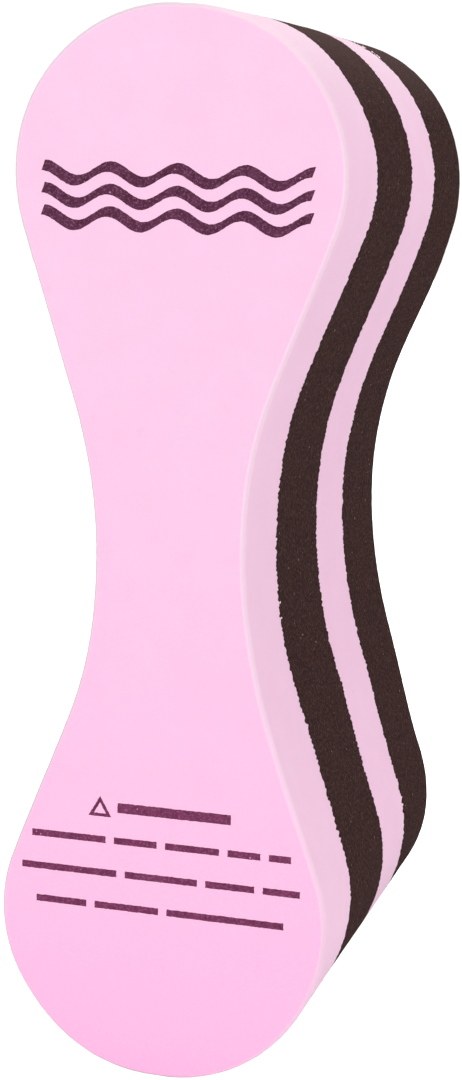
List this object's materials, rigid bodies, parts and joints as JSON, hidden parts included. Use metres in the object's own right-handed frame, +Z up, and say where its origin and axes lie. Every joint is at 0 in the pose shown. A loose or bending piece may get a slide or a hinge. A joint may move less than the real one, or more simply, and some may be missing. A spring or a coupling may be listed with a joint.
{
  "type": "pull buoy",
  "caption": "Hourglass block of glued pink and dark foam slabs with a printed front face, held between a swimmer's thighs for buoyancy.",
  "frame": {"origin": "centre of the block, on its mid-thickness plane and at the middle of the waist", "axes": "+Z up along the block's length, -Y out of the printed front face, +X across the width, to the right of someone looking at the printed face"},
  "size_m": [0.072, 0.1291, 0.23],
  "materials": {
    "pink_foam": "matte",
    "dark_foam": "matte",
    "adhesive": "satin",
    "print_ink": "matte"
  },
  "bodies": {
    "root": {"front_pink_layer": "pink_foam", "front_glue_film": "adhesive", "front_dark_layer": "dark_foam", "middle_glue_film": "adhesive", "rear_pink_layer": "pink_foam", "rear_glue_film": "adhesive", "rear_dark_layer": "dark_foam", "print_wave_upper": "print_ink", "print_wave_middle": "print_ink", "print_wave_lower": "print_ink", "print_notice_triangle": "print_ink", "print_notice_heading": "print_ink", "print_notice_line_1": "print_ink", "print_notice_line_2": "print_ink", "print_notice_line_3": "print_ink"}
  },
  "joints": []
}
